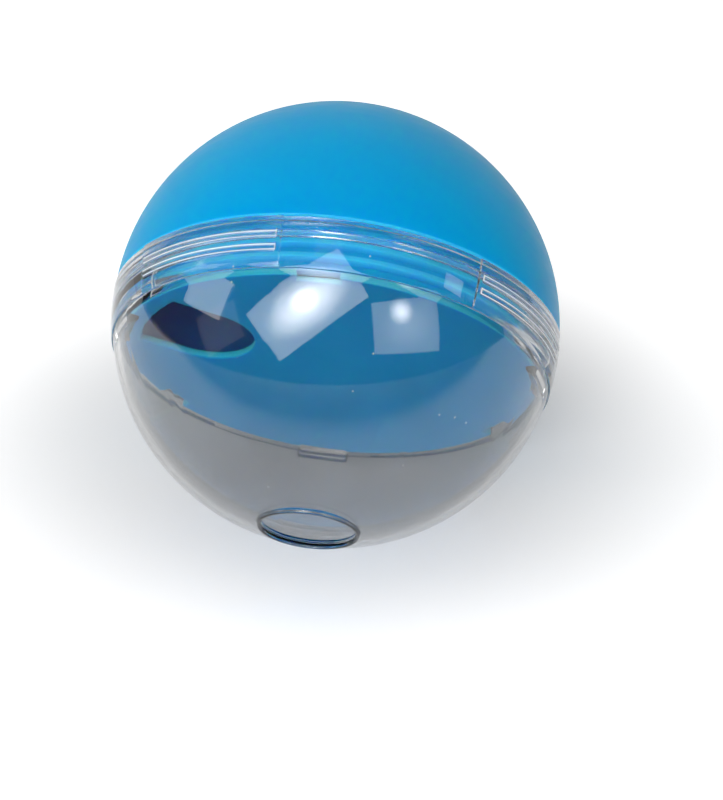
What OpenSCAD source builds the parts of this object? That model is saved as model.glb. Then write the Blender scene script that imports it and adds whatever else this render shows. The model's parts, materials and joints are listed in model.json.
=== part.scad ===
// Ball-shaped slow feeder in three mouldings.
// A blue dome screws into the collar of a clear bowl and clamps a divider disc on the bowl's lugs.
// The ball stands on the flat rim of its outlet, with its axis along Z and the dome on top.
// Lengths are in millimetres and angles in degrees, and the front of the ball faces -Y.

/* [Ball] */
// Outside diameter of the ball
ball_d = 102; // [94:1:126]
// Wall of the dome
dome_wall = 2.5; // [1.8:0.1:3.2]
// Wall of the bowl
bowl_wall = 1.5; // [1.2:0.1:2.2]

/* [Outlet] */
// Diameter of the outlet hole
outlet_d = 21; // [14:1:30]
// Width of the flat rim round the outlet
rim_w = 0.9; // [0.7:0.1:3]
// How far the rim stands out of the ball at the hole's edge
rim_h = 0.5; // [0.4:0.1:1.5]

/* [Collar] */
// How far below the middle of the ball the collar starts
collar_drop = 1; // [0.5:0.1:2]
// Height of the collar, from its top edge down to the disc's seat
collar_h = 11.2; // [10.2:0.2:14]
// Wall of the collar beside the disc's seat
collar_wall = 1.8; // [1.5:0.1:2.4]
// How far the collar stands out of the ball
collar_step = 0.3; // [0.1:0.05:0.6]
// Gap between the dome's edge and the collar's top
seam_gap = 0.3; // [0.2:0.05:0.6]

/* [Lugs] */
// Angle that each of the bowl's three lugs covers, more than a notch of the disc
lug_deg = 15; // [14:1:24]
// Angle of the back lug's middle, from +X towards +Y
lug_turn = 90; // [-90:1:90]
// Angle from the back lug round to the lug on either side
lug_spread = 105; // [100:1:130]
// How far a lug reaches under the disc's edge
lug_reach = 1.2; // [0.8:0.1:2]
// Height of a lug's upright face, above its sloping underside
lug_t = 0.8; // [0.5:0.1:1.5]

/* [Grip pads] */
// Number of grip pads round the collar
pad_count = 4; // [2:1:6]
// Angle that each pad covers
pad_deg = 41.5; // [24:0.5:50]
// Angle of the first pad's middle, from +X towards +Y
pad_turn = -35; // [-90:0.5:90]
// How far a pad stands out of the collar
pad_rise = 0.3; // [0.1:0.05:0.6]
// Number of ribs on each pad
rib_count = 2; // [1:1:2]
// Width of a rib
rib_w = 1.6; // [1.2:0.1:2.2]
// Distance from one rib to the next
rib_pitch = 2.9; // [2.6:0.1:3.6]
// Distance from the collar's top to the middle of the first rib
rib_top = 4.2; // [2:0.1:4.6]
// How far a rib stands out of its pad
rib_rise = 0.4; // [0.2:0.05:0.6]
// Angle left bare between a rib's end and its pad's end
rib_inset = 1.1; // [0.8:0.1:5]

/* [Thread] */
// Rise of the thread in one turn
thread_pitch = 3; // [2.8:0.1:3.6]
// Height of a thread ridge
thread_h = 1; // [0.7:0.05:1.2]
// Width of a ridge where it stands on its wall
thread_base_w = 1.9; // [1.5:0.1:2]
// Width of a ridge at its crest
thread_crest_w = 0.9; // [0.5:0.1:1]
// Gap from each ridge's crest to the wall that it faces
thread_gap = 0.4; // [0.3:0.05:0.6]
// Turns of the ridge on the dome's neck
neck_turns = 2.2; // [1.5:0.1:2.2]
// Turns of the ridge in the bowl's collar
collar_turns = 1.2; // [0.8:0.1:1.5]
// Distance from the neck's end to the middle of its ridge's start
thread_start = 1.3; // [1.1:0.1:1.5]
// Angle where the neck's ridge starts, from +X towards +Y
thread_turn = 120; // [0:5:360]
// Wall of the dome's neck
neck_wall = 2.2; // [1.6:0.1:3]

/* [Divider disc] */
// Thickness of the disc
disc_t = 1.8; // [1.4:0.1:2.2]
// Gap from the disc's edge to the crest of the collar's thread
disc_gap = 0.2; // [0.1:0.05:0.5]
// Width of the opening
opening_w = 22.8; // [16:0.2:26]
// Length of the opening along its middle line
opening_l = 23.7; // [18:0.1:28]
// Width of the web between the opening and the disc's edge
opening_web = 3.5; // [2:0.1:6]
// Angle of the opening's middle line, from +X towards +Y
opening_turn = -158; // [-180:1:180]
// Number of notches in the disc's edge
notch_count = 3; // [2:1:4]
// Width of a notch
notch_w = 9; // [5:0.2:10]
// Depth of a notch
notch_depth = 3; // [2:0.1:3]
// Angle of the first notch, from +X towards +Y
notch_turn = -95; // [-180:1:180]

/* [Hidden] */
$fn = 96;

// Rings in one turn of a thread ridge
thread_rings = 48;
// Rings over which a ridge rises at each of its ends
fade_rings = 4;
// Depth that a ridge's foot, a rib or a lug is sunk into its own wall
sink = 0.3;
// Overshoot of a cutting shape past the face that it cuts
over = 1;

ball_r = ball_d / 2;
outlet_r = outlet_d / 2;

// Heights, with the outlet's rim on the ground
middle_z = rim_h + sqrt(ball_r ^ 2 - outlet_r ^ 2);
collar_top_z = middle_z - collar_drop;
seat_z = collar_top_z - collar_h;
disc_top_z = seat_z + disc_t;
shoulder_z = collar_top_z + seam_gap;

// Radii, from the collar inwards
seat_drop = collar_drop + collar_h;
collar_in_r = sqrt(ball_r ^ 2 - seat_drop ^ 2) - collar_wall;
collar_crest_r = collar_in_r - thread_h;
neck_crest_r = collar_in_r - thread_gap;
neck_r = neck_crest_r - thread_h;
neck_in_r = neck_r - neck_wall;
disc_r = collar_crest_r - disc_gap;
lug_in_r = disc_r - lug_reach;
dome_in_r = ball_r - dome_wall;
bowl_in_r = ball_r - bowl_wall;
pad_r = ball_r + collar_step + pad_rise;
opening_far = disc_r - opening_web;

// Thread places: the collar's ridge lies half a pitch above the neck's
neck_ridge_z = disc_top_z + thread_start;
collar_ridge_top_z = collar_top_z - thread_base_w / 2 - sink;
collar_ridge_z = collar_ridge_top_z - collar_turns * thread_pitch;
collar_ridge_turn = thread_turn
    + 360 * (collar_ridge_z - neck_ridge_z - thread_pitch / 2) / thread_pitch;

// One ring of a ridge: two foot points and two crest points, wound the same way for either side
function ridge_ring(a, z, foot_r, crest_r, side) = [
    [foot_r * cos(a), foot_r * sin(a), z - side * thread_base_w / 2],
    [crest_r * cos(a), crest_r * sin(a), z - side * thread_crest_w / 2],
    [crest_r * cos(a), crest_r * sin(a), z + side * thread_crest_w / 2],
    [foot_r * cos(a), foot_r * sin(a), z + side * thread_base_w / 2]
];

// Two triangles of the strip from a ring's side k to the next ring
function ridge_side(i, k) = let (a = 4 * i + k, b = 4 * i + (k + 1) % 4)
    [[a, b, a + 4], [b, b + 4, a + 4]];

// Right-handed helical ridge on a round wall, with side 1 for outwards and -1 for inwards
module thread_ridge(wall_r, side, z, turn, turns) {
    steps = ceil(turns * thread_rings);
    rings = [for (i = [0 : steps])
        let (rise = min(1, i / fade_rings, (steps - i) / fade_rings))
        ridge_ring(turn + 360 * i / thread_rings, z + thread_pitch * i / thread_rings,
            wall_r - side * sink, wall_r + side * thread_h * rise, side)];
    last = 4 * steps;
    polyhedron(
        points = [for (ring = rings) each ring],
        faces = concat(
            [[3, 1, 0], [3, 2, 1]],
            [for (i = [0 : steps - 1], k = [0 : 3]) each ridge_side(i, k)],
            [[last, last + 1, last + 3], [last + 1, last + 2, last + 3]]));
}

// Raised part of the collar, out to a ball of radius r, over an angle and between two heights
module raised_sector(r, turn, deg, low_z, h) {
    intersection() {
        translate([0, 0, middle_z])
            sphere(r = r);
        rotate([0, 0, turn - deg / 2])
            translate([0, 0, low_z])
                rotate_extrude(angle = deg)
                    translate([collar_in_r + sink, 0])
                        square([r + over - collar_in_r, h]);
    }
}

// Grip pad with flat-topped ribs along it
module grip_pad(turn) {
    raised_sector(pad_r, turn, pad_deg, seat_z, collar_h);
    for (i = [0 : rib_count - 1])
        raised_sector(pad_r + rib_rise, turn, pad_deg - 2 * rib_inset,
            collar_top_z - rib_top - i * rib_pitch - rib_w / 2, rib_w);
}

// Bore of the collar and the round hollow below it
module bowl_hollow() {
    intersection() {
        translate([0, 0, middle_z])
            sphere(r = bowl_in_r);
        cylinder(r = collar_in_r, h = middle_z);
    }
}

// Lug under the disc's edge, with a 45 degree underside that runs into the bowl's wall
module lug(turn) {
    wall_r = bowl_in_r + sink;
    intersection() {
        translate([0, 0, middle_z])
            sphere(r = wall_r);
        rotate([0, 0, turn - lug_deg / 2])
            translate([0, 0, seat_z])
                rotate_extrude(angle = lug_deg)
                    polygon([
                        [lug_in_r, 0],
                        [lug_in_r, -lug_t],
                        [wall_r, lug_in_r - wall_r - lug_t],
                        [wall_r, 0]]);
    }
}

module bowl_outside() {
    intersection() {
        translate([0, 0, middle_z])
            sphere(r = ball_r);
        cylinder(r = ball_d, h = seat_z + sink);
    }
    intersection() {
        translate([0, 0, middle_z])
            sphere(r = ball_r + collar_step);
        translate([0, 0, seat_z])
            cylinder(r = ball_d, h = collar_h);
    }
    cylinder(r = outlet_r + rim_w, h = rim_h + bowl_wall / 2);
    for (i = [0 : pad_count - 1])
        grip_pad(pad_turn + i * 360 / pad_count);
}

module bowl() {
    color([0.80, 0.85, 0.88, 0.4]) {
        difference() {
            bowl_outside();
            bowl_hollow();
            translate([0, 0, -over])
                cylinder(r = outlet_r, h = middle_z);
        }
        for (side = [-1 : 1])
            lug(lug_turn + side * lug_spread);
        thread_ridge(collar_in_r, -1, collar_ridge_z, collar_ridge_turn, collar_turns);
    }
}

// Opening with a round inner end and an outer edge that follows the disc's edge
module disc_opening() {
    end_x = opening_far - opening_l + opening_w / 2;
    translate([0, 0, -over])
        intersection() {
            cylinder(r = opening_far, h = disc_t + 2 * over);
            rotate([0, 0, opening_turn]) {
                translate([end_x, 0, 0])
                    cylinder(d = opening_w, h = disc_t + 2 * over);
                translate([end_x, -opening_w / 2, 0])
                    cube([disc_r, opening_w, disc_t + 2 * over]);
            }
        }
}

module divider_disc() {
    color([0.04, 0.55, 0.82])
        translate([0, 0, seat_z])
            difference() {
                cylinder(r = disc_r, h = disc_t);
                disc_opening();
                for (i = [0 : notch_count - 1])
                    rotate([0, 0, notch_turn + i * 360 / notch_count])
                        translate([disc_r - notch_depth, -notch_w / 2, -over])
                            cube([notch_depth + over, notch_w, disc_t + 2 * over]);
            }
}

// Hollow of the dome: the neck's bore, a 45 degree funnel and the round chamber above
module dome_hollow() {
    funnel_h = dome_in_r - neck_in_r;
    translate([0, 0, disc_top_z - over])
        cylinder(r = neck_in_r, h = middle_z + ball_r - disc_top_z);
    translate([0, 0, shoulder_z])
        cylinder(r1 = neck_in_r, r2 = dome_in_r, h = funnel_h);
    translate([0, 0, shoulder_z + funnel_h])
        cylinder(r = dome_in_r, h = ball_r);
}

module dome() {
    color([0.02, 0.62, 0.88]) {
        difference() {
            union() {
                intersection() {
                    translate([0, 0, middle_z])
                        sphere(r = ball_r);
                    translate([0, 0, shoulder_z])
                        cylinder(r = ball_d, h = ball_d);
                }
                translate([0, 0, disc_top_z])
                    cylinder(r = neck_r, h = shoulder_z + sink - disc_top_z);
            }
            intersection() {
                dome_hollow();
                translate([0, 0, middle_z])
                    sphere(r = dome_in_r);
            }
        }
        thread_ridge(neck_r, 1, neck_ridge_z, thread_turn, neck_turns);
    }
}

bowl();
divider_disc();
dome();
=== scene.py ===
import json
import math

import bmesh
import bpy
from mathutils import Matrix, Vector


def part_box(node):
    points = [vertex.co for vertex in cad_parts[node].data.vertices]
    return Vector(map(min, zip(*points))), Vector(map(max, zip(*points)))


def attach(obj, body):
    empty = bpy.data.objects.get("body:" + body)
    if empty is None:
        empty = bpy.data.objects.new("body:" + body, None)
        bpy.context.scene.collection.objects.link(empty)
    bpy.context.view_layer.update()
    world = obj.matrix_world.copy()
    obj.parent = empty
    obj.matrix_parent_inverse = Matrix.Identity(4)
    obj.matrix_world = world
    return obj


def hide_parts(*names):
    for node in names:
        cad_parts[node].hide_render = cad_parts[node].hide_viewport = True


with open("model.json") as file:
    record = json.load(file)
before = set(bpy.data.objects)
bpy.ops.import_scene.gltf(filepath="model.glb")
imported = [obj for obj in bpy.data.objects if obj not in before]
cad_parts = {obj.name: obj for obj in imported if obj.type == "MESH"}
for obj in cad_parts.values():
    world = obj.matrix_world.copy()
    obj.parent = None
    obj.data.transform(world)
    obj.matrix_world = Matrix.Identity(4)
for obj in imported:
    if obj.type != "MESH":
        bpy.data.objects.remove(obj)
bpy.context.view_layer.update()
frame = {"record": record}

MM = 0.001
FULL_TURN = 2 * math.pi

# Sizes read from the frame
DOME_LOW, DOME_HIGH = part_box("dome")
BOWL_LOW, BOWL_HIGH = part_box("bowl")
DISC_LOW, DISC_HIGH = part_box("divider_disc")
MOUNTS = {mount["name"]: mount for mount in frame["record"]["mounts"]}
SCREW = frame["record"]["behaviour"]["couplings"][0]

BALL_R = (DOME_HIGH.x - DOME_LOW.x) / 2
MIDDLE_Z = DOME_HIGH.z - BALL_R
COLLAR_TOP_Z = BOWL_HIGH.z
SEAT_Z = DISC_LOW.z
DISC_TOP_Z = DISC_HIGH.z
DISC_R = (DISC_HIGH.x - DISC_LOW.x) / 2
OUTLET_R = MOUNTS["outlet"]["dims"]["r_mm"] * MM
THREAD_PITCH = SCREW["ratio"] * FULL_TURN

# Walls and steps
DOME_WALL = 2.5 * MM
BOWL_WALL = 1.5 * MM
NECK_WALL = 2.2 * MM
RIM_W = 0.9 * MM
COLLAR_STEP = 0.3 * MM
SEAM_GAP = 0.3 * MM
DISC_GAP = 0.2 * MM

# Lugs that carry the disc
LUG_ANGLE = math.radians(15)
LUG_TURN = math.radians(90)
LUG_SPREAD = math.radians(105)
LUG_REACH = 1.2 * MM
LUG_LIP = 0.8 * MM
LUG_EDGE = 0.02 * MM

# Thread ridges
THREAD_H = 1.0 * MM
THREAD_GAP = 0.4 * MM
THREAD_BASE_W = 1.9 * MM
THREAD_CREST_W = 0.9 * MM
THREAD_FADE_TURNS = 1 / 12
NECK_TURNS = 2.2
COLLAR_TURNS = 1.2
THREAD_START = 1.3 * MM
THREAD_TURN = math.radians(120)
COLLAR_RIDGE_INSET = 0.3 * MM

# Grip pads and their ribs
PAD_COUNT = 4
PAD_ANGLE = math.radians(41.5)
PAD_TURN = math.radians(-35)
PAD_RISE = 0.3 * MM
RIB_COUNT = 2
RIB_W = 1.6 * MM
RIB_PITCH = 2.9 * MM
RIB_TOP = 4.2 * MM
RIB_RISE = 0.4 * MM
RIB_SLOPE = 0.3 * MM
RIB_INSET = math.radians(1.1)
RIB_HIGHLIGHT_W = 0.32 * MM
RIB_ROWS = (0, 0.25, 0.5, 0.75, 1, 1.25, 1.5, 1.75, 2)
STEP_ANGLE = math.radians(0.4)

# Disc opening and notches
OPENING_W = 22.8 * MM
OPENING_L = 23.7 * MM
OPENING_WEB = 3.5 * MM
OPENING_TURN = math.radians(-158)
NOTCH_COUNT = 3
NOTCH_W = 9.0 * MM
NOTCH_DEPTH = 3.0 * MM
NOTCH_TURN = math.radians(-95)
DISC_EDGE_R = 0.3 * MM

# Radii, from the collar inwards
COLLAR_IN_R = DISC_R + DISC_GAP + THREAD_H
NECK_R = COLLAR_IN_R - THREAD_GAP - THREAD_H
NECK_IN_R = NECK_R - NECK_WALL
LUG_IN_R = DISC_R - LUG_REACH
DOME_IN_R = BALL_R - DOME_WALL
BOWL_IN_R = BALL_R - BOWL_WALL
OPENING_FAR = DISC_R - OPENING_WEB

# Heights between the mouldings
SHOULDER_Z = COLLAR_TOP_Z + SEAM_GAP
BORE_LOW_Z = MIDDLE_Z - math.sqrt(BOWL_IN_R ** 2 - COLLAR_IN_R ** 2)
LUG_LOW_Z = SEAT_Z - LUG_LIP - (BOWL_IN_R - LUG_IN_R)


# Outline helpers: an outline is a list of (radius, height) points

def straight(start, end, step):
    count = max(1, round(math.dist(start, end) / step))
    return [tuple(a + (b - a) * i / count for a, b in zip(start, end)) for i in range(count + 1)]


def ball_point(radius, z):
    """The point at a height on a circle about the ball's middle."""
    return math.sqrt(radius ** 2 - (z - MIDDLE_Z) ** 2), z


def ball_arc(radius, start_z, end_z, step):
    """Points of a circle about the ball's middle, from one height to another."""
    start = math.asin((start_z - MIDDLE_Z) / radius)
    end = math.asin((end_z - MIDDLE_Z) / radius)
    count = max(1, round(abs(end - start) * radius / step))
    turns = [start + (end - start) * i / count for i in range(count + 1)]
    return [(radius * math.cos(a), MIDDLE_Z + radius * math.sin(a)) for a in turns]


def trimmed(path, length):
    """The path without that length at its start."""
    left = length
    for i in range(len(path) - 1):
        span = math.dist(path[i], path[i + 1])
        if span > left:
            cut = tuple(a + (b - a) * left / span for a, b in zip(path[i], path[i + 1]))
            return [cut] + path[i + 1:]
        left -= span
    return path[-1:]


def rounded_join(first, second, radius, steps=4):
    """Two paths that share a corner, with the corner rounded off."""
    if radius == 0:
        return first + second[1:]
    corner = first[-1]
    head = trimmed(first[::-1], radius)[::-1]
    tail = trimmed(second, radius)
    a, b = head[-1], tail[0]
    bend = []
    for i in range(1, steps):
        t = i / steps
        weights = ((1 - t) ** 2, 2 * t * (1 - t), t * t)
        bend.append(tuple(sum(w * v for w, v in zip(weights, values)) for values in zip(a, corner, b)))
    return head + bend + tail


def outline(paths, radii, closed):
    """Joins paths end to end, each corner with its own radius."""
    joined = paths[0]
    for path, radius in zip(paths[1:], radii):
        joined = rounded_join(joined, path, radius)
    if closed:
        # The last corner is rounded too, by turning the loop so that it lies inside the path
        middle = len(joined) // 2
        joined = rounded_join(joined[middle:], joined[:middle + 1], radii[-1])[:-1]
    return joined


# Mesh helpers

def link(obj):
    bpy.context.scene.collection.objects.link(obj)
    return obj


def revolve(name, loop, turns, closed, marks):
    """Turns a loop about Z. marks gives attribute names with a test on (radius, height)."""
    mesh = bpy.data.meshes.new(name)
    count = len(loop)
    points = [(r * math.cos(a), r * math.sin(a), z) for a in turns for r, z in loop]
    rows = count if closed else count - 1
    faces = []
    for j in range(len(turns)):
        k = (j + 1) % len(turns)
        for i in range(rows):
            n = (i + 1) % count
            faces.append((j * count + i, k * count + i, k * count + n, j * count + n))
    mesh.from_pydata(points, [], faces)
    for mark, test in marks.items():
        layer = mesh.attributes.new(mark, "FLOAT", "POINT")
        layer.data.foreach_set("value", [float(test(r, z)) for _ in turns for r, z in loop])
    bm = bmesh.new()
    bm.from_mesh(mesh)
    bmesh.ops.remove_doubles(bm, verts=bm.verts, dist=0.002 * MM)
    bmesh.ops.recalc_face_normals(bm, faces=bm.faces)
    for face in bm.faces:
        face.smooth = True
    bm.to_mesh(mesh)
    bm.free()
    return link(bpy.data.objects.new(name, mesh))


def even_turns(count):
    return [FULL_TURN * i / count for i in range(count)]


def stepped_turns(steps, fine, count, coarse):
    """Angles all the way round, close together about each step and up to coarse apart elsewhere."""
    near = sorted((step + i * fine) % FULL_TURN for step in steps for i in range(-count, count + 1))
    turns = []
    for start, end in zip(near, near[1:] + [near[0] + FULL_TURN]):
        parts = math.ceil((end - start) / coarse)
        turns += [start + (end - start) * i / parts for i in range(parts)]
    return turns


# Node helpers: small sums on sockets and numbers, in any node tree

class Graph:
    def __init__(self, tree):
        self.tree = tree

    def node(self, kind, **settings):
        made = self.tree.nodes.new(kind)
        for key, value in settings.items():
            setattr(made, key, value)
        return made

    def feed(self, socket, value):
        if isinstance(value, bpy.types.NodeSocket):
            self.tree.links.new(value, socket)
        else:
            socket.default_value = value

    def sum(self, operation, *terms):
        made = self.node("ShaderNodeMath", operation=operation)
        for socket, term in zip(made.inputs, terms):
            self.feed(socket, term)
        return made.outputs[0]

    def ramp(self, value, low, high, to_low=0.0, to_high=1.0, kind="SMOOTHSTEP"):
        """to_low at low, to_high at high, and level beyond them."""
        made = self.node("ShaderNodeMapRange", interpolation_type=kind)
        terms = {"Value": value, "From Min": low, "From Max": high, "To Min": to_low, "To Max": to_high}
        for label, term in terms.items():
            self.feed(made.inputs[label], term)
        return made.outputs["Result"]

    def seen_rays(self):
        """1 for rays from the camera, and for those that metal and glass send on."""
        path = self.node("ShaderNodeLightPath")
        seen = self.sum("ADD", path.outputs["Is Camera Ray"], path.outputs["Is Glossy Ray"])
        return self.sum("MINIMUM", self.sum("ADD", seen, path.outputs["Is Transmission Ray"]), 1.0)


class Shaper(Graph):
    """A Geometry Nodes tree that takes a mesh, moves its points and returns it with a material."""

    def __init__(self, name, inputs):
        super().__init__(bpy.data.node_groups.new(name, "GeometryNodeTree"))
        face = self.tree.interface
        face.new_socket("Geometry", in_out="INPUT", socket_type="NodeSocketGeometry")
        face.new_socket("Geometry", in_out="OUTPUT", socket_type="NodeSocketGeometry")
        for label in inputs:
            face.new_socket(label, in_out="INPUT", socket_type="NodeSocketFloat")
        face.new_socket("Material", in_out="INPUT", socket_type="NodeSocketMaterial")
        self.start = self.node("NodeGroupInput")
        self.end = self.node("NodeGroupOutput")

    def given(self, label):
        return self.start.outputs[label]

    def mark(self, name):
        made = self.node("GeometryNodeInputNamedAttribute", data_type="FLOAT")
        made.inputs["Name"].default_value = name
        return made.outputs["Attribute"]

    def place(self):
        """The point's x, y, z and its angle round the axis."""
        split = self.node("ShaderNodeSeparateXYZ")
        self.feed(split.inputs[0], self.node("GeometryNodeInputPosition").outputs[0])
        x, y, z = split.outputs
        return x, y, z, self.sum("ARCTAN2", y, x)

    def from_nearest(self, angle, count, turn):
        """Angle to the middle of the nearest of several equal sectors."""
        half_sector = self.sum("DIVIDE", math.pi, count)
        turned = self.sum("SUBTRACT", angle, turn)
        wrapped = self.sum("WRAP", turned, half_sector, self.sum("MULTIPLY", half_sector, -1.0))
        return self.sum("ABSOLUTE", wrapped)

    def within(self, offset, half, edge):
        """1 inside half, 0 outside it, over an edge of some width."""
        half_edge = self.sum("MULTIPLY", edge, 0.5)
        return self.ramp(offset, self.sum("ADD", half, half_edge), self.sum("SUBTRACT", half, half_edge))

    def push_out(self, amount, x, y, stored):
        """Moves every point away from the axis, stores named values and gives the mesh its material."""
        flat = self.node("ShaderNodeCombineXYZ")
        self.feed(flat.inputs[0], x)
        self.feed(flat.inputs[1], y)
        away = self.node("ShaderNodeVectorMath", operation="NORMALIZE")
        self.feed(away.inputs[0], flat.outputs[0])
        step = self.node("ShaderNodeVectorMath", operation="SCALE")
        self.feed(step.inputs[0], away.outputs[0])
        self.feed(step.inputs["Scale"], amount)
        mesh = self.given("Geometry")
        for name, value in stored.items():
            store = self.node("GeometryNodeStoreNamedAttribute", data_type="FLOAT", domain="POINT")
            store.inputs["Name"].default_value = name
            self.feed(store.inputs["Geometry"], mesh)
            self.feed(store.inputs["Value"], value)
            mesh = store.outputs["Geometry"]
        moved = self.node("GeometryNodeSetPosition")
        self.feed(moved.inputs["Geometry"], mesh)
        self.feed(moved.inputs["Offset"], step.outputs[0])
        real = self.node("GeometryNodeRealizeInstances")
        self.feed(real.inputs[0], moved.outputs[0])
        painted = self.node("GeometryNodeSetMaterial")
        self.feed(painted.inputs["Geometry"], real.outputs[0])
        self.feed(painted.inputs["Material"], self.given("Material"))
        self.feed(self.end.inputs[0], painted.outputs[0])
        return self.tree


def thread_tree():
    """Helical ridge on the wall that carries the mark thread_wall."""
    t = Shaper("screw thread", [
        "Pitch", "Height", "Base width", "Crest width", "Turns", "Fade turns",
        "Start height", "Start angle"])
    x, y, z, angle = t.place()
    along = t.sum("DIVIDE", t.sum("SUBTRACT", angle, t.given("Start angle")), FULL_TURN)
    climb = t.sum("DIVIDE", t.sum("SUBTRACT", z, t.given("Start height")), t.given("Pitch"))
    lead = t.sum("SUBTRACT", climb, along)
    turn = t.sum("ROUND", lead)
    away = t.sum("MULTIPLY", t.sum("ABSOLUTE", t.sum("SUBTRACT", lead, turn)), t.given("Pitch"))
    half_base = t.sum("MULTIPLY", t.given("Base width"), 0.5)
    half_crest = t.sum("MULTIPLY", t.given("Crest width"), 0.5)
    profile = t.ramp(away, half_base, half_crest, kind="LINEAR")
    done = t.sum("ADD", turn, along)
    left = t.sum("SUBTRACT", t.given("Turns"), done)
    fade = t.ramp(t.sum("MINIMUM", done, left), 0.0, t.given("Fade turns"))
    ridge = t.sum("MULTIPLY", t.sum("MULTIPLY", profile, fade), t.mark("thread_wall"))
    return t.push_out(t.sum("MULTIPLY", ridge, t.given("Height")), x, y, {"ridge": ridge})


def grip_tree():
    """Raised pads with ribs on the wall that carries the mark grip_wall."""
    t = Shaper("grip pads", [
        "Pad count", "Pad angle", "Pad turn", "Pad rise", "Step angle", "Rib count", "Rib width",
        "Rib slope", "Rib pitch", "First rib height", "Rib rise", "Rib inset", "Highlight width"])
    x, y, z, angle = t.place()
    offset = t.from_nearest(angle, t.given("Pad count"), t.given("Pad turn"))
    half_pad = t.sum("MULTIPLY", t.given("Pad angle"), 0.5)
    pad = t.sum("MULTIPLY", t.within(offset, half_pad, t.given("Step angle")), t.mark("grip_wall"))
    below = t.sum("SUBTRACT", t.given("First rib height"), z)
    index = t.sum("ROUND", t.sum("DIVIDE", below, t.given("Rib pitch")))
    index = t.sum("MAXIMUM", index, 0.0)
    index = t.sum("MINIMUM", index, t.sum("SUBTRACT", t.given("Rib count"), 1.0))
    down = t.sum("SUBTRACT", below, t.sum("MULTIPLY", index, t.given("Rib pitch")))
    across = t.sum("ABSOLUTE", down)
    half_rib = t.sum("MULTIPLY", t.sum("SUBTRACT", t.given("Rib width"), t.given("Rib slope")), 0.5)
    half_bar = t.sum("SUBTRACT", half_pad, t.given("Rib inset"))
    bar = t.within(across, half_rib, t.given("Rib slope"))
    length = t.sum("MULTIPLY", t.within(offset, half_bar, t.given("Step angle")), pad)
    rib = t.sum("MULTIPLY", bar, length)
    # Painted highlight mask: the ribs' slopes and a line beside each upper slope, which the clear plastic
    # paints pale
    edge = t.sum("MULTIPLY", t.sum("MULTIPLY", rib, t.sum("SUBTRACT", 1.0, rib)), 4.0)
    # The upper slope is turned away from below, so its painted highlight line lies on the flat beside it
    upper = t.sum("ABSOLUTE", t.sum("ADD", down, t.sum("SUBTRACT", half_rib, t.given("Highlight width"))))
    half_line = t.sum("MULTIPLY", t.given("Highlight width"), 0.5)
    line = t.sum("MULTIPLY", t.within(upper, half_line, half_line), length)
    edge = t.sum("MAXIMUM", edge, line)
    pad_rise = t.sum("MULTIPLY", pad, t.given("Pad rise"))
    rib_rise = t.sum("MULTIPLY", rib, t.given("Rib rise"))
    return t.push_out(t.sum("ADD", pad_rise, rib_rise), x, y, {"pad": pad, "rib_painted_highlight": edge})


def lug_tree():
    """Back lug and two side lugs, with sloping undersides, on the wall that carries the mark lug_wall."""
    t = Shaper("disc lugs", [
        "Lug angle", "Lug turn", "Lug spread", "Step angle", "Inner radius", "Top height", "Lip height"])
    x, y, z, angle = t.place()
    back = t.from_nearest(angle, 1, t.given("Lug turn"))
    side = t.sum("ABSOLUTE", t.sum("SUBTRACT", back, t.given("Lug spread")))
    offset = t.sum("MINIMUM", back, side)
    lug = t.within(offset, t.sum("MULTIPLY", t.given("Lug angle"), 0.5), t.given("Step angle"))
    radius = t.sum("SQRT", t.sum("ADD", t.sum("MULTIPLY", x, x), t.sum("MULTIPLY", y, y)))
    below = t.sum("SUBTRACT", t.given("Top height"), z)
    slope = t.sum("MAXIMUM", t.sum("SUBTRACT", below, t.given("Lip height")), 0.0)
    depth = t.sum("SUBTRACT", t.sum("SUBTRACT", radius, t.given("Inner radius")), slope)
    depth = t.sum("MULTIPLY", t.sum("MAXIMUM", depth, 0.0), t.sum("MULTIPLY", lug, t.mark("lug_wall")))
    return t.push_out(t.sum("MULTIPLY", depth, -1.0), x, y, {})


def shaped(obj, tree, values, material):
    """Runs a tree on an object and keeps the result as its plain mesh."""
    modifier = obj.modifiers.new(tree.name, "NODES")
    modifier.node_group = tree
    for item in tree.interface.items_tree:
        if item.in_out == "INPUT" and item.name in values:
            modifier[item.identifier] = values[item.name]
        if item.in_out == "INPUT" and item.name == "Material":
            modifier[item.identifier] = material
    graph = bpy.context.evaluated_depsgraph_get()
    finished = bpy.data.meshes.new_from_object(obj.evaluated_get(graph))
    obj.modifiers.clear()
    old = obj.data
    obj.data = finished
    bpy.data.meshes.remove(old)
    finished.name = obj.name
    finished.set_sharp_from_angle(angle=math.radians(40))
    return obj


# Materials

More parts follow.
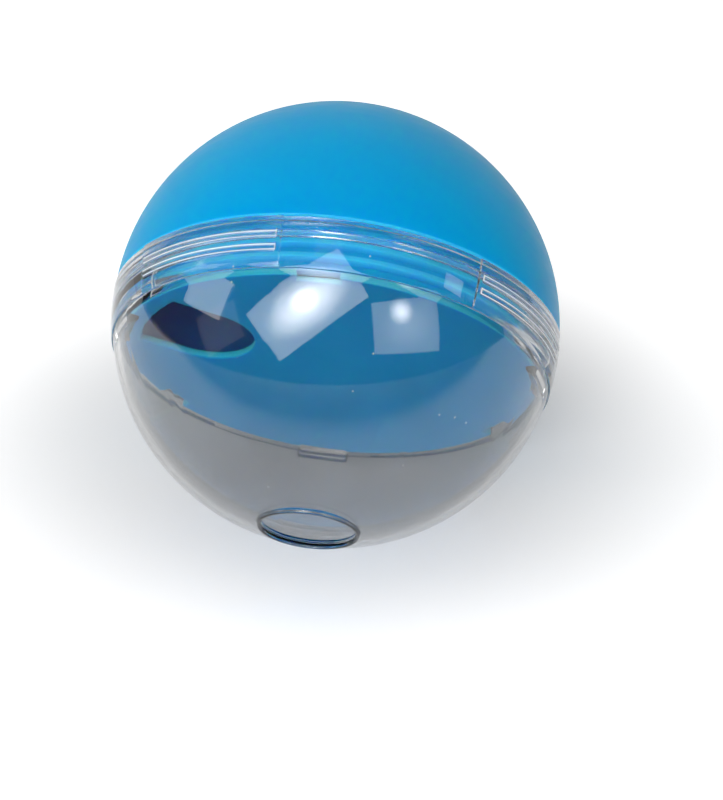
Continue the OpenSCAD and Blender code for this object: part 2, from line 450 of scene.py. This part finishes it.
class Paint(Graph):
    """A material's nodes, with its Principled shader."""

    def __init__(self, name):
        self.material = bpy.data.materials.new(name)
        self.material.use_nodes = True
        super().__init__(self.material.node_tree)
        self.shader = self.tree.nodes["Principled BSDF"]
        self.output = self.tree.nodes["Material Output"]

    def give(self, label, value):
        self.feed(self.shader.inputs[label], value)

    def spot(self, stretch=(1, 1, 1)):
        """Object coordinates, with a Mapping node for their stretch."""
        mapping = self.node("ShaderNodeMapping")
        self.feed(mapping.inputs["Scale"], stretch)
        self.feed(mapping.inputs["Vector"], self.node("ShaderNodeTexCoord").outputs["Object"])
        return mapping.outputs["Vector"]

    def noise(self, scale, detail, stretch=(1, 1, 1)):
        made = self.node("ShaderNodeTexNoise")
        self.feed(made.inputs["Vector"], self.spot(stretch))
        self.feed(made.inputs["Scale"], scale)
        self.feed(made.inputs["Detail"], detail)
        return made.outputs["Fac"]

    def spread(self, source, low, high):
        """Maps a noise onto a range."""
        return self.ramp(source, 0.3, 0.7, low, high, "LINEAR")

    def blend(self, factor, first, second):
        """Mixes two colours, each a socket or a plain colour."""
        made = self.node("ShaderNodeMixRGB")
        self.feed(made.inputs["Fac"], factor)
        for label, colour in (("Color1", first), ("Color2", second)):
            self.feed(made.inputs[label], (*colour, 1) if isinstance(colour, tuple) else colour)
        return made.outputs["Color"]

    def mark(self, name):
        return self.node("ShaderNodeAttribute", attribute_name=name).outputs["Fac"]

    def bump(self, source, height):
        made = self.node("ShaderNodeBump")
        self.feed(made.inputs["Strength"], 1.0)
        self.feed(made.inputs["Distance"], height)
        self.feed(made.inputs["Height"], source)
        self.give("Normal", made.outputs["Normal"])

    def mixed(self, factor, first, second):
        made = self.node("ShaderNodeMixShader")
        self.feed(made.inputs["Fac"], factor)
        self.feed(made.inputs[1], first.outputs["BSDF"])
        self.feed(made.inputs[2], second.outputs["BSDF"])
        self.feed(self.output.inputs["Surface"], made.outputs["Shader"])


def moulded_blue(name, first, second, highlight_blue, smooth, rough):
    """Moulded plastic that passes a little light: cloudy tone, uneven gloss, a very fine skin and a painted
    highlight, a lighter blue on thread crests and rounded edges.
    """
    paint = Paint(name)
    cloud = paint.blend(paint.spread(paint.noise(45, 3), 0, 1), first, second)
    # Painted highlight: thread crests and rounded edges are mixed towards a lighter blue, standing in for
    # the light they catch
    painted_highlight = paint.sum("MAXIMUM", paint.mark("ridge"), paint.mark("painted_edge_light"))
    paint.give("Base Color", paint.blend(painted_highlight, cloud, highlight_blue))
    paint.give("Roughness", paint.spread(paint.noise(160, 6, (1, 1, 3)), smooth, rough))
    paint.bump(paint.noise(2600, 2), 0.006 * MM)
    paint.give("IOR", 1.49)
    paint.give("Specular IOR Level", 0.05)
    paint.give("Subsurface Weight", 1.0)
    paint.give("Subsurface Radius", (0.15, 0.4, 1.0))
    paint.give("Subsurface Scale", 4.0 * MM)
    return paint.material


def clear_plastic(name, tint, collar_tint, passed_tint):
    """Clear plastic with a grey tint that is painted shade and darker below its collar, with hazy pads, rib
    edges painted pale as a highlight, a dull thread and scuffs.
    """
    paint = Paint(name)
    cloud = paint.spread(paint.noise(60, 3), 0, 0.12)
    cells = paint.node("ShaderNodeTexVoronoi")
    paint.feed(cells.inputs["Vector"], paint.spot())
    paint.feed(cells.inputs["Scale"], 330)
    dot = paint.ramp(cells.outputs["Distance"], 0.09, 0.05)
    shade = paint.node("ShaderNodeSeparateColor")
    paint.feed(shade.inputs[0], cells.outputs["Color"])
    speck = paint.sum("MULTIPLY", dot, paint.sum("GREATER_THAN", shade.outputs[0], 0.93))
    # Painted highlight: rib slopes turn pale, cloudy and rougher, standing in for light they catch; the
    # specks are real pale specks
    edge = paint.sum("MULTIPLY", paint.mark("rib_painted_highlight"), 0.8)
    pale = paint.sum("MAXIMUM", edge, paint.sum("MULTIPLY", speck, 0.5))
    pad = paint.mark("pad")
    place = paint.node("ShaderNodeSeparateXYZ")
    paint.feed(place.inputs[0], paint.spot())
    # Painted shade: the grey tint, darker below the collar, stands in for the shadowed floor seen through
    # the plastic
    painted_shade_tint = paint.blend(paint.ramp(place.outputs["Z"], SEAT_Z, DISC_TOP_Z), tint, collar_tint)
    haze_tint = paint.blend(paint.sum("MULTIPLY", pad, 0.8), painted_shade_tint, (0.50, 0.52, 0.54))
    paint.give("Base Color", paint.blend(paint.sum("MAXIMUM", pale, cloud), haze_tint, (0.95, 0.96, 0.97)))
    clouded = paint.sum("MAXIMUM", pale, paint.sum("MULTIPLY", pad, 0.02))
    paint.give("Transmission Weight", paint.sum("SUBTRACT", 1.0, clouded))
    scuff = paint.spread(paint.noise(240, 8, (1, 1, 2)), 0.01, 0.05)
    haze = paint.sum("ADD", scuff, paint.sum("MULTIPLY", pad, 0.06))
    haze = paint.sum("ADD", haze, paint.sum("MULTIPLY", paint.mark("ridge"), 0.35))
    paint.give("Roughness", paint.sum("ADD", haze, paint.sum("MULTIPLY", pale, 0.3)))
    paint.bump(paint.noise(90, 2), 0.012 * MM)
    paint.give("IOR", 1.49)
    # Lamps shine through the plastic onto what is inside
    passed = paint.node("ShaderNodeBsdfTransparent")
    passed.inputs["Color"].default_value = (*passed_tint, 1)
    paint.mixed(paint.node("ShaderNodeLightPath").outputs["Is Shadow Ray"], paint.shader, passed)
    return paint.material


# The three mouldings

def collar_heights():
    """Heights of the rows on the collar's outside, with three rows over each slope of a rib."""
    heights = {SEAT_Z, COLLAR_TOP_Z}
    for i in range(RIB_COUNT):
        middle = COLLAR_TOP_Z - RIB_TOP - i * RIB_PITCH
        for side in (-1, 1):
            heights.update(middle + side * (RIB_W / 2 - RIB_SLOPE * part) for part in RIB_ROWS)
    rows = sorted(heights)
    filled = []
    for low, high in zip(rows, rows[1:]):
        parts = math.ceil((high - low) / (0.8 * MM))
        filled += [low + (high - low) * i / parts for i in range(parts)]
    return filled + rows[-1:]


def bowl_loop():
    rim_r = OUTLET_R + RIM_W
    rim_top_z = MIDDLE_Z - math.sqrt(BALL_R ** 2 - rim_r ** 2)
    hole_top_z = MIDDLE_Z - math.sqrt(BOWL_IN_R ** 2 - OUTLET_R ** 2)
    low_z = BOWL_LOW.z
    collar = [ball_point(BALL_R + COLLAR_STEP, z) for z in collar_heights()]
    lug_edge = (COLLAR_IN_R, SEAT_Z - LUG_EDGE)
    paths = [
        straight((OUTLET_R, low_z), (rim_r, low_z), 0.5 * MM),
        straight((rim_r, low_z), (rim_r, rim_top_z), 0.3 * MM),
        ball_arc(BALL_R, rim_top_z, SEAT_Z, 1.6 * MM),
        straight(ball_point(BALL_R, SEAT_Z), collar[0], 0.1 * MM),
        collar,
        straight(collar[-1], (COLLAR_IN_R, COLLAR_TOP_Z), 0.5 * MM),
        straight((COLLAR_IN_R, COLLAR_TOP_Z), (COLLAR_IN_R, SEAT_Z), 0.16 * MM),
        [(COLLAR_IN_R, SEAT_Z), lug_edge],
        straight(lug_edge, (COLLAR_IN_R, BORE_LOW_Z), 0.2 * MM),
        ball_arc(BOWL_IN_R, BORE_LOW_Z, LUG_LOW_Z, 0.2 * MM),
        ball_arc(BOWL_IN_R, LUG_LOW_Z, hole_top_z, 1.6 * MM),
        straight((OUTLET_R, hole_top_z), (OUTLET_R, low_z), 0.5 * MM),
    ]
    radii = [x * MM for x in (0.35, 0.3, 0.1, 0.1, 0.45, 0.35, 0, 0, 0, 0, 0.5, 0.35)]
    return outline(paths, radii, closed=True)


def sector_ends(count, turn, half):
    """Angles where equal sectors round the axis begin and end."""
    return [turn + i * FULL_TURN / count + side * half for i in range(count) for side in (-1, 1)]


def thread_values(height, turns, start, turn):
    return {
        "Pitch": THREAD_PITCH, "Height": height, "Base width": THREAD_BASE_W, "Crest width": THREAD_CREST_W,
        "Turns": turns, "Fade turns": THREAD_FADE_TURNS, "Start height": start, "Start angle": turn}


def make_bowl(finish):
    skin = 0.1 * MM
    hair = 0.01 * MM
    marks = {
        "grip_wall": lambda r, z: r > COLLAR_IN_R + 1.5 * MM and SEAT_Z + skin < z < COLLAR_TOP_Z - skin,
        "thread_wall": lambda r, z: abs(r - COLLAR_IN_R) < hair and z > SEAT_Z,
        "lug_wall": lambda r, z: r < COLLAR_IN_R + hair and LUG_LOW_Z < z < SEAT_Z - hair,
    }
    steps = sector_ends(PAD_COUNT, PAD_TURN, PAD_ANGLE / 2)
    steps += sector_ends(PAD_COUNT, PAD_TURN, PAD_ANGLE / 2 - RIB_INSET)
    for side in (-1, 0, 1):
        steps += sector_ends(1, LUG_TURN + side * LUG_SPREAD, LUG_ANGLE / 2)
    turns = stepped_turns(steps, STEP_ANGLE / 4, 3, math.radians(2))
    bowl = revolve("clear_bowl", bowl_loop(), turns, True, marks)
    shaped(bowl, grip_tree(), {
        "Pad count": PAD_COUNT, "Pad angle": PAD_ANGLE, "Pad turn": PAD_TURN, "Pad rise": PAD_RISE,
        "Step angle": STEP_ANGLE, "Rib count": RIB_COUNT, "Rib width": RIB_W, "Rib slope": RIB_SLOPE,
        "Rib pitch": RIB_PITCH, "First rib height": COLLAR_TOP_Z - RIB_TOP, "Rib rise": RIB_RISE,
        "Rib inset": RIB_INSET, "Highlight width": RIB_HIGHLIGHT_W}, finish)
    shaped(bowl, lug_tree(), {
        "Lug angle": LUG_ANGLE, "Lug turn": LUG_TURN, "Lug spread": LUG_SPREAD, "Step angle": STEP_ANGLE,
        "Inner radius": LUG_IN_R, "Top height": SEAT_Z, "Lip height": LUG_LIP}, finish)
    top = COLLAR_TOP_Z - THREAD_BASE_W / 2 - COLLAR_RIDGE_INSET
    start = top - COLLAR_TURNS * THREAD_PITCH
    neck_start = DISC_TOP_Z + THREAD_START
    turn = THREAD_TURN + FULL_TURN * (start - neck_start - THREAD_PITCH / 2) / THREAD_PITCH
    return shaped(bowl, SCREW_TREE, thread_values(-THREAD_H, COLLAR_TURNS, start, turn), finish)


def dome_loop():
    funnel_z = SHOULDER_Z + DOME_IN_R - NECK_IN_R
    funnel_r = ball_point(DOME_IN_R, funnel_z)[0]
    funnel_end = (funnel_r, SHOULDER_Z + funnel_r - NECK_IN_R)
    paths = [
        ball_arc(BALL_R, MIDDLE_Z + BALL_R, SHOULDER_Z, 1.4 * MM),
        straight(ball_point(BALL_R, SHOULDER_Z), (NECK_R, SHOULDER_Z), 0.6 * MM),
        straight((NECK_R, SHOULDER_Z), (NECK_R, DISC_TOP_Z), 0.13 * MM),
        straight((NECK_R, DISC_TOP_Z), (NECK_IN_R, DISC_TOP_Z), 0.5 * MM),
        straight((NECK_IN_R, DISC_TOP_Z), (NECK_IN_R, SHOULDER_Z), 1.0 * MM),
        straight((NECK_IN_R, SHOULDER_Z), funnel_end, 0.8 * MM),
        [funnel_end] + ball_arc(DOME_IN_R, funnel_z, MIDDLE_Z + DOME_IN_R, 1.6 * MM)[1:],
    ]
    radii = [x * MM for x in (0.5, 0.3, 0.3, 0.3, 0.8, 1.0)]
    return outline(paths, radii, closed=False)


def make_dome(finish):
    marks = {
        "thread_wall": lambda r, z: abs(r - NECK_R) < 0.01 * MM,
        # Painted highlight mark: the dome's rounded lower edge, painted a lighter blue
        "painted_edge_light": lambda r, z: r > NECK_R + 3 * MM and z < SHOULDER_Z + 0.4 * MM,
    }
    dome = revolve("blue_dome", dome_loop(), even_turns(240), False, marks)
    start = DISC_TOP_Z + THREAD_START
    return shaped(dome, SCREW_TREE, thread_values(THREAD_H, NECK_TURNS, start, THREAD_TURN), finish)


def polar(radius, angle):
    return Vector((radius * math.cos(angle), radius * math.sin(angle), 0))


def arc_points(centre, radius, start, end, count):
    return [centre + polar(radius, start + (end - start) * i / count) for i in range(count + 1)]


def disc_edge():
    """Round edge with square notches."""
    half = math.asin(NOTCH_W / 2 / DISC_R)
    sector = FULL_TURN / NOTCH_COUNT
    points = []
    for i in range(NOTCH_COUNT):
        turn = NOTCH_TURN + i * sector
        spin = Matrix.Rotation(turn, 3, "Z")
        points += [spin @ Vector((DISC_R - NOTCH_DEPTH, side * NOTCH_W / 2, 0)) for side in (-1, 1)]
        points += arc_points(Vector(), DISC_R, turn + half, turn + sector - half, 64)
    return points


def disc_hole():
    """Opening with a round inner end and an outer edge that follows the disc's edge."""
    end_x = OPENING_FAR - OPENING_L + OPENING_W / 2
    half = math.asin(OPENING_W / 2 / OPENING_FAR)
    points = arc_points(Vector((end_x, 0, 0)), OPENING_W / 2, math.pi / 2, 3 * math.pi / 2, 40)
    points += arc_points(Vector(), OPENING_FAR, -half, half, 24)
    spin = Matrix.Rotation(OPENING_TURN, 3, "Z")
    return [spin @ p for p in points]


def make_disc(finish):
    """Flat plate with rounded edges, cut from a filled curve."""
    curve = bpy.data.curves.new("disc_plate", "CURVE")
    curve.dimensions = "2D"
    curve.fill_mode = "BOTH"
    curve.bevel_depth = DISC_EDGE_R
    curve.bevel_resolution = 3
    curve.offset = -DISC_EDGE_R
    half_wall = (DISC_TOP_Z - SEAT_Z) / 2 - DISC_EDGE_R
    curve.extrude = half_wall
    for points in (disc_edge(), disc_hole()):
        spline = curve.splines.new("POLY")
        spline.points.add(len(points) - 1)
        spline.points.foreach_set("co", [c for p in points for c in (*p, 1)])
        spline.use_cyclic_u = True
    flat = link(bpy.data.objects.new("disc_plate", curve))
    graph = bpy.context.evaluated_depsgraph_get()
    mesh = bpy.data.meshes.new_from_object(flat.evaluated_get(graph))
    bpy.data.objects.remove(flat)
    middle = (DISC_TOP_Z + SEAT_Z) / 2
    mesh.transform(Matrix.Translation((0, 0, middle)))
    bm = bmesh.new()
    bm.from_mesh(mesh)
    bmesh.ops.remove_doubles(bm, verts=bm.verts, dist=0.002 * MM)
    bmesh.ops.recalc_face_normals(bm, faces=bm.faces)
    bm.to_mesh(mesh)
    bm.free()
    # Painted highlight mark: the disc's side walls, painted a lighter blue
    painted_edge_light = mesh.attributes.new("painted_edge_light", "FLOAT", "POINT")
    heights = [abs(vertex.co.z - middle) for vertex in mesh.vertices]
    painted_edge_light.data.foreach_set("value", [float(height < half_wall + 0.01 * MM) for height in heights])
    mesh.materials.clear()
    mesh.materials.append(finish)
    return link(bpy.data.objects.new("divider_plate", mesh))


SCREW_TREE = thread_tree()
DOME_BLUE = moulded_blue(
    "dome blue plastic", (0.000, 0.370, 0.740), (0.000, 0.390, 0.770), (0.04, 0.52, 0.92), 0.33, 0.42)
# Painted light: the disc's blue is brighter than the dome's, making up for the grey tint and shade in front
# of it
DISC_BLUE = moulded_blue(
    "disc blue plastic", (0.000, 0.345, 0.845), (0.000, 0.365, 0.875), (0.04, 0.56, 0.98), 0.36, 0.46)
# The bowl's and the collar's grey tints are painted shade for the shadowed floor seen through them
CLEAR = clear_plastic(
    "clear bowl plastic", (0.51, 0.513, 0.513), (0.60, 0.61, 0.62), (0.95, 0.95, 0.95))

for piece, node, slot in (
        (make_bowl(CLEAR), "bowl", "clear_plastic"),
        (make_disc(DISC_BLUE), "divider_disc", "disc_blue"),
        (make_dome(DOME_BLUE), "dome", "dome_blue")):
    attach(piece, node)
    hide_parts(node)


# Camera, from where the ball lies in the photograph's frame

PHOTO_W, PHOTO_H = 723, 800
BALL_PX = (336.4, 325.9)
BALL_R_PX = 222.05
VIEW_RADII = 8.0
VIEW_ELEVATION = math.radians(-23.9)
VIEW_ROLL = math.radians(7.4)
SENSOR = 36.0
MIDDLE = Vector((0, 0, MIDDLE_Z))


def view_axes():
    """The camera's right, up and back directions."""
    back = Vector((0, -math.cos(VIEW_ELEVATION), math.sin(VIEW_ELEVATION)))
    level_right = Vector((1, 0, 0))
    level_up = back.cross(level_right)
    right = level_right * math.cos(VIEW_ROLL) + level_up * math.sin(VIEW_ROLL)
    return right, back.cross(right), back


RIGHT, UP, BACK = view_axes()


def make_camera():
    data = bpy.data.cameras.new("photo camera")
    data.sensor_width = SENSOR
    data.lens = SENSOR * BALL_R_PX * VIEW_RADII / max(PHOTO_W, PHOTO_H)
    side = (PHOTO_W / 2 - BALL_PX[0]) / BALL_R_PX
    drop = (BALL_PX[1] - PHOTO_H / 2) / BALL_R_PX
    camera = link(bpy.data.objects.new("photo camera", data))
    place = MIDDLE + BALL_R * (side * RIGHT + drop * UP + VIEW_RADII * BACK)
    camera.matrix_world = Matrix.Translation(place) @ Matrix((RIGHT, UP, BACK)).transposed().to_4x4()
    bpy.context.scene.camera = camera


make_camera()


# Floor, lamps and surroundings

FLOOR_TILT = math.radians(27)
FLOOR_UP = UP * math.cos(FLOOR_TILT) + BACK * math.sin(FLOOR_TILT)
FLOOR_R = 0.8
FLOOR_LIFT = 0.62
SHADE_LIFT = 0.1
SHADE_MIDDLE = (0, 0.045, 0)
SHADE_NEAR = 0.045
SHADE_FAR = 0.135
FRAME_FRONT = -0.11
FRAME_FADE = 0.09
AMBIENT = 0.25
WALL_R = 2.0
WALL_COLUMNS = 48
WALL_ROWS = 12
WALL_ANGLE = math.radians(115)
WALL_LOW = math.radians(-10)
WALL_GLOW = 0.14
WALL_TOP = math.radians(84)


def stage_mesh(name, bm, paint):
    """Stage piece whose Z is the floor's normal and whose Y points away from the camera."""
    mesh = bpy.data.meshes.new(name)
    bm.to_mesh(mesh)
    bm.free()
    mesh.materials.append(paint.material)
    made = link(bpy.data.objects.new(name, mesh))
    away = FLOOR_UP.cross(RIGHT)
    turn = Matrix((RIGHT, away, FLOOR_UP)).transposed().to_4x4()
    made.matrix_world = Matrix.Translation(MIDDLE - FLOOR_UP * (BALL_R + 0.3 * MM)) @ turn
    made.visible_shadow = False
    return made


def make_floor():
    """Pale floor under the ball in the main view: white beyond a painted shade round its shadow, dimmer out
    of frame.
    """
    bm = bmesh.new()
    bmesh.ops.create_circle(bm, cap_ends=True, segments=128, radius=FLOOR_R)
    paint = Paint("pale floor")
    paint.give("Roughness", 0.9)
    paint.give("Emission Color", (1, 1, 1, 1))
    reach = paint.node("ShaderNodeVectorMath", operation="DISTANCE")
    paint.feed(reach.inputs[0], paint.spot())
    paint.feed(reach.inputs[1], SHADE_MIDDLE)
    # Painted shade: less lift near the ball keeps the floor darker round its real shadow, also under the
    # bowl
    lift = paint.ramp(reach.outputs["Value"], SHADE_NEAR, SHADE_FAR, SHADE_LIFT, FLOOR_LIFT)
    split = paint.node("ShaderNodeSeparateXYZ")
    paint.feed(split.inputs[0], paint.spot())
    framed = paint.ramp(split.outputs["Y"], FRAME_FRONT - FRAME_FADE, FRAME_FRONT)
    paint.give("Base Color", paint.blend(framed, (0.4, 0.4, 0.4), (0.86, 0.86, 0.86)))
    lift = paint.sum("MULTIPLY", lift, framed)
    paint.give("Emission Strength", paint.sum("MULTIPLY", lift, paint.seen_rays()))
    side = paint.node("ShaderNodeNewGeometry")
    paint.mixed(side.outputs["Backfacing"], paint.shader, paint.node("ShaderNodeBsdfTransparent"))
    stage_mesh("floor", bm, paint)


def make_wall():
    """Dim shell behind and above the camera that only gloss and clear plastic show."""
    bm = bmesh.new()
    last = []
    for i in range(WALL_COLUMNS + 1):
        across = -math.pi / 2 + WALL_ANGLE * (2 * i / WALL_COLUMNS - 1)
        rises = [WALL_LOW + (WALL_TOP - WALL_LOW) * k / WALL_ROWS for k in range(WALL_ROWS + 1)]
        column = [polar(math.cos(a), across) + Vector((0, 0, math.sin(a))) for a in rises]
        column = [bm.verts.new(p * WALL_R) for p in column]
        for k in range(len(last) - 1):
            bm.faces.new((last[k], column[k], column[k + 1], last[k + 1]))
        last = column
    paint = Paint("dim wall")
    paint.give("Base Color", (0.03, 0.03, 0.03, 1))
    paint.give("Roughness", 1.0)
    paint.give("Emission Color", (1, 1, 1, 1))
    paint.give("Emission Strength", WALL_GLOW)
    paint.material.cycles.emission_sampling = "NONE"
    wall = stage_mesh("dim_wall", bm, paint)
    wall.visible_camera = False
    wall.visible_diffuse = False


def fade_lamp(data, edge):
    """Dims a lamp from its middle outwards, down to a part of its strength."""
    data.use_nodes = True
    glow = Graph(data.node_tree)
    away = glow.node("ShaderNodeVectorMath", operation="DISTANCE")
    glow.feed(away.inputs[0], glow.node("ShaderNodeNewGeometry").outputs["Parametric"])
    glow.feed(away.inputs[1], (0.5, 0.5, 0.0))
    strength = glow.ramp(away.outputs["Value"], 0.0, 0.5, 1.0, edge)
    glow.feed(data.node_tree.nodes["Emission"].inputs["Strength"], strength)


def make_softbox(name, right, up, distance, width, height, radiance, roll=0, edge=1.0,
                 lights=True, mirrored=True):
    """Lamp that faces the ball, at angles in degrees from the camera, as bright as its radiance says.

    A lamp that lights shines on matt surfaces, and a mirrored one shows in gloss and clear plastic.
    """
    data = bpy.data.lights.new(name, "AREA")
    data.shape = "RECTANGLE"
    data.size = width
    data.size_y = height
    data.energy = math.pi * width * height * radiance
    if edge < 1:
        fade_lamp(data, edge)
    lamp = link(bpy.data.objects.new(name, data))
    right, up = math.radians(right), math.radians(up)
    level = BACK * math.cos(right) + RIGHT * math.sin(right)
    facing = level * math.cos(up) + UP * math.sin(up)
    across = UP.cross(facing).normalized()
    turn = Matrix((across, facing.cross(across), facing)).transposed().to_4x4()
    spin = Matrix.Rotation(math.radians(roll), 4, "Z")
    lamp.matrix_world = Matrix.Translation(MIDDLE + facing * distance) @ turn @ spin
    lamp.visible_camera = False
    lamp.visible_diffuse = lights
    lamp.visible_glossy = mirrored
    lamp.visible_transmission = mirrored


def make_world():
    """Even light from all round, which the camera, gloss and clear plastic see as white."""
    world = bpy.data.worlds.new("studio")
    bpy.context.scene.world = world
    world.use_nodes = True
    sky = Graph(world.node_tree)
    ground = world.node_tree.nodes["Background"]
    ground.inputs["Color"].default_value = (1, 1, 1, 1)
    sky.feed(ground.inputs["Strength"], sky.ramp(sky.seen_rays(), 0.0, 1.0, AMBIENT, 1.0))


make_floor()
make_wall()
make_softbox("front light", -11, 1, 1.3, 0.70, 0.35, 13.4, 15, mirrored=False)
make_softbox("front window", -13.7, 8.5, 1.2, 1.22, 0.64, 16.5, 36, edge=0.2, lights=False)
make_softbox("right window", 35, -2, 1.2, 0.71, 0.53, 3.6, 6, edge=0.6, lights=False)
make_softbox("left window", -66, 13, 1.2, 0.50, 0.36, 3.0, -20)
make_softbox("left glow", -58, -2, 1.25, 0.50, 0.38, 0.5, 20, lights=False)
make_softbox("side window", 61, 16, 1.2, 0.20, 0.15, 3.0, -30)
make_softbox("front bulb", -14.6, 10.1, 1.1, 0.34, 0.26, 16.0, 30, edge=0.0, lights=False)
make_softbox("right bulb", 32.1, 4.5, 1.1, 0.28, 0.28, 12.0, 0, edge=0.0, lights=False)
make_softbox("overhead", -20, 60, 1.5, 1.6, 1.6, 0.5, mirrored=False)
make_softbox("rear window", 165, 0, 1.5, 1.0, 0.8, 1.5)
make_world()
bpy.context.scene.view_settings.view_transform = "Standard"
